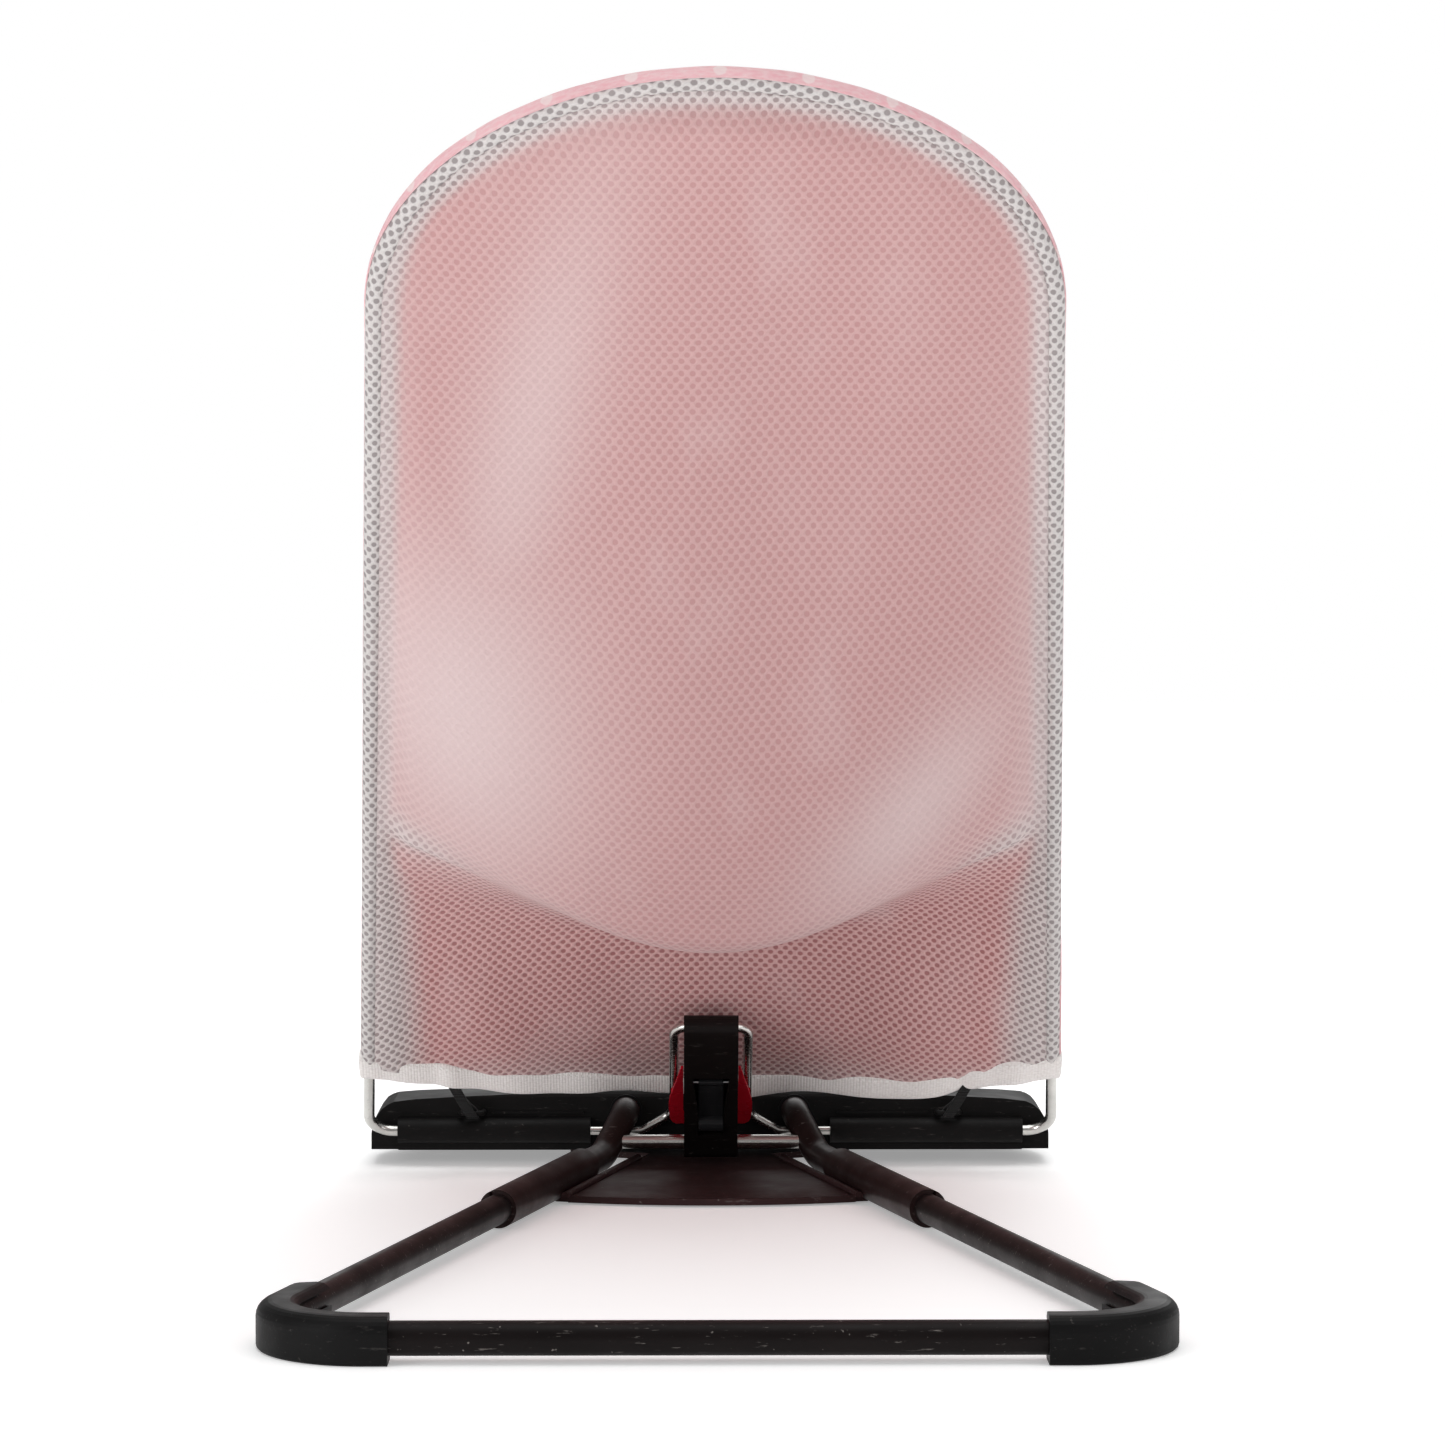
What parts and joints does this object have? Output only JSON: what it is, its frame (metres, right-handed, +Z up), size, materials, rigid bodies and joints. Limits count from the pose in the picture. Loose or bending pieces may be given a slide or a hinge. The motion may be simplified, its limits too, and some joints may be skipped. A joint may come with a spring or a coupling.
{
  "type": "bouncer seat",
  "caption": "Infant bouncer: fabric sling on a bent steel rod, hinged on a low springy tube base, with a lock that sets the recline.",
  "frame": {"origin": "middle of the footprint on the floor", "axes": "+Z up, +Y the way the sitter faces, X across; mirror-symmetric about X = 0"},
  "size_m": [0.4, 0.658, 0.5555],
  "materials": {
    "black_tube": "satin black powder coat on steel tube",
    "brown_tube": "satin brown-black powder coat",
    "rubber": "matt black rubber",
    "brown_plastic": "matt brown-black moulding",
    "black_plastic": "fine-grained black moulding",
    "lock_plastic": "matt black moulding",
    "lock_gloss": "polished black moulding",
    "red_plastic": "red moulding",
    "white_plastic": "white moulding",
    "nylon": "dark nylon",
    "steel": "nickel-plated steel rod",
    "zinc": "zinc-plated steel",
    "pink_fabric": "woven cotton, pink with small white dots",
    "mesh_fabric": "open warp-knit mesh",
    "white_binding": "white knitted binding",
    "elastic": "black woven elastic"
  },
  "bodies": {
    "base": {"rear_tube": "black_tube", "corner_cover_left": "rubber", "corner_cover_right": "rubber", "sleeve_left": "brown_tube", "sleeve_right": "brown_tube", "base_plate": "brown_plastic", "plate_rails": "brown_plastic", "floor_pads": "rubber", "plate_screws": "zinc"},
    "front_frame": {"riser_left": "brown_tube", "riser_right": "brown_tube", "cross_bar": "steel", "front_beam": "black_plastic", "beam_cover": "black_plastic", "beam_screws": "zinc", "socket_collars": "rubber", "rod_bushes": "nylon", "strap_hooks": "black_plastic"},
    "lock": {"lock_block": "lock_plastic", "latch_pin": "zinc"},
    "latch": {"thumb_latch": "lock_gloss"},
    "seat": {"seat_rod": "steel", "lock_loop": "steel", "front_cover": "pink_fabric", "back_cover": "mesh_fabric", "hem_binding": "white_binding", "rim_piping": "pink_fabric", "restraint_panel": "pink_fabric", "restraint_buttons": "white_plastic", "elastic_strap_left": "elastic", "elastic_strap_right": "elastic"},
    "catch": {"release_catch": "red_plastic"}
  },
  "joints": [
    {"name": "bounce", "type": "hinge", "parent": "base", "child": "front_frame", "pos_m": [0, 0.1725, 0.0105], "axis": [1, 0, 0], "range_deg": [-0.8, 4], "stiffness_Nm_per_rad": 200, "springref_deg": -1.03},
    {"name": "seat_recline", "type": "hinge", "parent": "front_frame", "child": "seat", "pos_m": [0, 0.247, 0.0193], "axis": [1, 0, 0], "range_deg": [0, 38], "deforming": ["front_cover", "back_cover", "hem_binding", "elastic_strap_left", "elastic_strap_right"]},
    {"name": "lock_turn", "type": "hinge", "parent": "front_frame", "child": "lock", "pos_m": [0, 0.2205, 0.017], "axis": [1, 0, 0], "range_deg": [0, 48]},
    {"name": "latch_press", "type": "hinge", "parent": "lock", "child": "latch", "pos_m": [0, 0.18407, 0.05431], "axis": [1, 0, 0], "range_deg": [0, 3], "stiffness_Nm_per_rad": 0.6, "springref_deg": -2.86},
    {"name": "catch_slide", "type": "slide", "parent": "seat", "child": "catch", "axis": [0, -0.831, 0.5563], "range_m": [0, 0.004], "stiffness_N_per_m": 400, "springref_m": -0.004}
  ],
  "couplings": [
    {"joint": "lock_turn", "follows": "seat_recline", "ratio": 1.2576}
  ]
}
